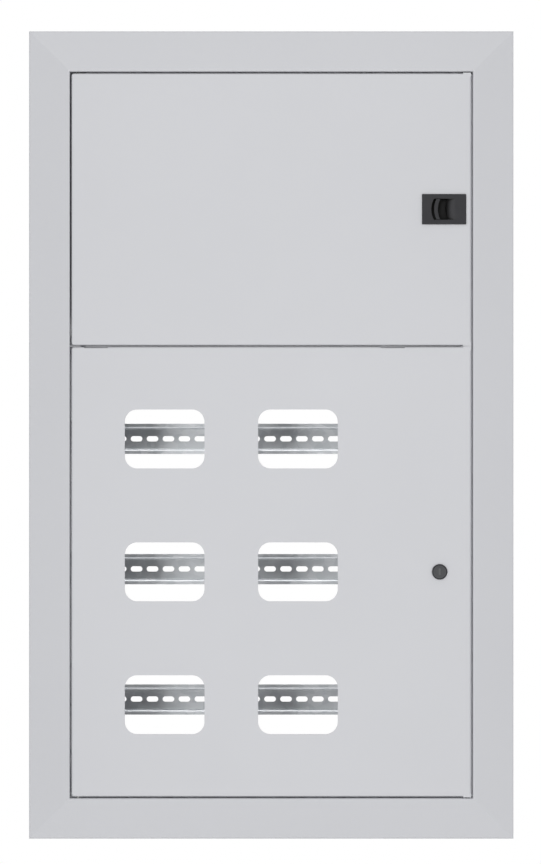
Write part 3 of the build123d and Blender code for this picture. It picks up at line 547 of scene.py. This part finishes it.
def panScrew(name, headRadiusMm, headHighMm, shankRadiusMm, lengthMm, pitchMm):
    # Pan-head machine screw with a cross recess and a rolled thread
    outline = [(headRadiusMm * across, headHighMm * down) for across, down in screw["head"]]
    outline.append((shankRadiusMm, -headHighMm))
    outline.append((shankRadiusMm, screw["tipMm"] - lengthMm))
    outline.append((shankRadiusMm * screw["tipRadius"], -lengthMm))
    thread = {"afterPoint": len(screw["head"]), "pitchMm": pitchMm,
              "depthMm": screw["threadDepth"] * pitchMm}
    return crossRecess(turned(name, outline, thread=thread), headRadiusMm, headHighMm)


placeFasteners("rail_screws", forward, panScrew("railScrew", **railScrew), zincPlate, seed=4)
placeFasteners("gland_screws", outward, panScrew("glandScrew", **glandScrew), zincPlate, seed=5)
placeFasteners("latch_screw", backward, panScrew("latchScrew", **latchScrew), zincPlate,
               "latch_slider", seed=6)
placeFasteners("cam_screw", backward, panScrew("camScrew", **camScrew), zincPlate,
               "lock_cylinder", seed=7)

nut = {
    "segments": 48,
    "railFlats": {"acrossMm": 8.0, "downToMm": -4.1},
    "flangeFlats": {"acrossMm": 10.0, "downToMm": -4.9},
}
railNut = turned("railNut", [
    (2.5, 0), (3.75, 0), (4.62, -0.45), (4.62, -3.55), (3.75, -4.0), (2.5, -4.0),
], nut["segments"], nut["railFlats"], bored=True)
placeFasteners("rail_nuts", backward, railNut, zincPlate, seed=8)

earthThread = {"afterPoint": 1, "pitchMm": 1.0, "depthMm": 0.55}
flangeNut = turned("flangeNut", [
    (3.0, 0), (4.7, 0), (5.77, -0.55), (5.77, -4.7), (5.1, -5.0), (5.9, -5.2), (6.0, -5.5),
    (6.0, -6.2), (3.0, -6.2),
], nut["segments"], nut["flangeFlats"], bored=True)
earthStud = turned("earthStud", [(2.2, 0), (3.0, -0.8), (3.0, -13.0), (3.0, -14.0)],
                   thread=earthThread)
for carrier, body, aimOf in (
    ("box", "root", rightward), ("upper_door", "upper_door", backward),
    ("lower_door", "lower_door", backward),
):
    placeFasteners(carrier + "_earth_stud", aimOf, earthStud, zincPlate, body, mostTurn=0)
    placeFasteners(carrier + "_earth_nut", aimOf, flangeNut, zincPlate, body, mostTurn=0)
print("fasteners placed")


# Studio: white surroundings, soft lights for each kind of piece, and a floor well below

studio = {
    "fill": 0.60, "behind": 0.88,          # light from the camera's side and from the backdrop
    "dimRoom": 0.04, "blend": 0.15,
    "floorZ": -1.5, "floorX": (-12, 12), "floorY": (-8, 16), "floorTone": (0.8, 0.8, 0.8, 1),
}
white = (1, 1, 1, 1)


def whiteBackdrop(name):
    # Plain white to the camera and in reflections, and a pale matt floor to everything else
    material, tree, output = newMaterial(name)
    path = addNode(tree, "ShaderNodeLightPath").outputs
    seen = mathOf(tree, "MAXIMUM", path["Is Camera Ray"], path["Is Glossy Ray"])
    plain = mathOf(tree, "MAXIMUM", seen, path["Is Transmission Ray"])
    matt = addNode(tree, "ShaderNodeBsdfDiffuse", color=studio["floorTone"])
    glow = addNode(tree, "ShaderNodeEmission", color=white, strength=1.0)
    mixed = addNode(tree, "ShaderNodeMixShader", fac=plain)
    tree.links.new(matt.outputs["BSDF"], mixed.inputs[1])
    tree.links.new(glow.outputs["Emission"], mixed.inputs[2])
    tree.links.new(mixed.outputs["Shader"], output.inputs["Surface"])
    return material


def studioFloor():
    left, right = studio["floorX"]
    near, far = studio["floorY"]
    corners = [(left, near), (right, near), (right, far), (left, far)]
    mesh = bpy.data.meshes.new("studioFloor")
    mesh.from_pydata([(x, y, studio["floorZ"]) for x, y in corners], [], [(0, 1, 2, 3)])
    mesh.materials.append(whiteBackdrop("studioWhite"))
    floor = bpy.data.objects.new("studioFloor", mesh)
    scene.collection.objects.link(floor)


def studioWorld():
    # Light comes evenly from the white backdrop behind the board and less from the camera's
    # side, where reflections see a dim room
    world = bpy.data.worlds.new("studioWorld")
    world.use_nodes = True
    tree = world.node_tree
    tree.nodes.clear()
    path = addNode(tree, "ShaderNodeLightPath").outputs
    direction = addNode(tree, "ShaderNodeTexCoord").outputs["Generated"]
    intoPicture = addNode(tree, "ShaderNodeSeparateXYZ", vector=direction).outputs["Y"]
    blend = (-studio["blend"], studio["blend"])
    mirrored = toRange(tree, intoPicture, studio["dimRoom"], 1.0, *blend)
    scattered = toRange(tree, intoPicture, studio["fill"], studio["behind"], *blend)
    indirect = toRange(tree, path["Is Glossy Ray"], scattered, mirrored)
    shown = mathOf(tree, "MAXIMUM", path["Is Camera Ray"], path["Is Transmission Ray"])
    strength = toRange(tree, shown, indirect, 1.0)
    sky = addNode(tree, "ShaderNodeBackground", color=white, strength=strength)
    addNode(tree, "ShaderNodeOutputWorld", surface=sky.outputs["Background"])
    scene.world = world


painted = ("trim_frame", "upper_door", "lower_door")
latch = ("latch_housing", "latch_slider")
rails = [nodeName for nodeName in nodes if nodeName.endswith("_rail")]
behindGaps = [nodeName for nodeName in nodes if nodeName.endswith(("_stop", "_wall"))]
panels = {
    "frontPanel": {"power": 50.0, "size": (0.8, 4.8), "place": (0, -3.2, 0), "lit": painted},
    "sidePanel": {"power": 70.0, "size": (1.3, 1.0), "place": (-1.9, -2.35, 0.2), "lit": rails},
    "highPanel": {"power": 16.0, "size": (1.6, 0.5), "place": (0.1, -2.3, 1.15), "lit": rails},
    "overPanel": {"power": 62.0, "size": (1.6, 0.4), "place": (0.1, -0.5, 2.2), "lit": rails,
                  "shadowsOf": rails},
    "lowPanel": {"power": 26.0, "size": (1.6, 0.4), "place": (0, -0.5, -2.2), "lit": rails,
                 "shadowsOf": rails},
    "latchPanel": {"power": 16.0, "size": (1.0, 1.0), "place": (-0.8, -2.6, 1.5), "lit": latch},
    "axisPanel": {"power": 90.0, "size": (0.4, 1.0), "place": (0, -3.3, 0), "lit": behindGaps},
    "shelfPanel": {"power": 34.0, "size": (0.4, 1.0), "place": (0, -3.3, 0),
                   "lit": ("divider_shelf",)},
}


def softPanel(name, power, size, place, lit, shadowsOf=None):
    # A soft light aimed at the board, for the pieces named in lit. Only those in shadowsOf stand
    # in its way, where that is given.
    light = bpy.data.lights.new(name, "AREA")
    light.shape = "RECTANGLE"
    light.size, light.size_y = size
    light.energy = power
    panel = bpy.data.objects.new(name, light)
    panel.location = place
    panel.rotation_euler = (-Vector(place)).to_track_quat("-Z", "Y").to_euler()
    panel.visible_camera = False
    scene.collection.objects.link(panel)
    for use, names in (("receiver_collection", lit), ("blocker_collection", shadowsOf)):
        if names:
            group = bpy.data.collections.new(name + "_" + use)
            for nodeName in names:
                group.objects.link(nodes[nodeName])
            setattr(panel.light_linking, use, group)


view = {
    "place": (-0.00085, -3.50, 0.0034),
    "sensorMm": 36.0, "lensMm": 123.2,      # 0.98 m high picture at the doors, from 3.36 m away
}


def photoCamera():
    # Straight at the front, as the photo was taken
    data = bpy.data.cameras.new("photoCamera")
    data.sensor_width = view["sensorMm"]
    data.lens = view["lensMm"]
    camera = bpy.data.objects.new("photoCamera", data)
    camera.location = view["place"]
    camera.rotation_euler = (math.radians(90), 0, 0)
    scene.collection.objects.link(camera)
    scene.camera = camera


studioFloor()
studioWorld()
for name, panel in panels.items():
    softPanel(name, **panel)
photoCamera()
scene.view_settings.view_transform = "Standard"
print("studio ready")
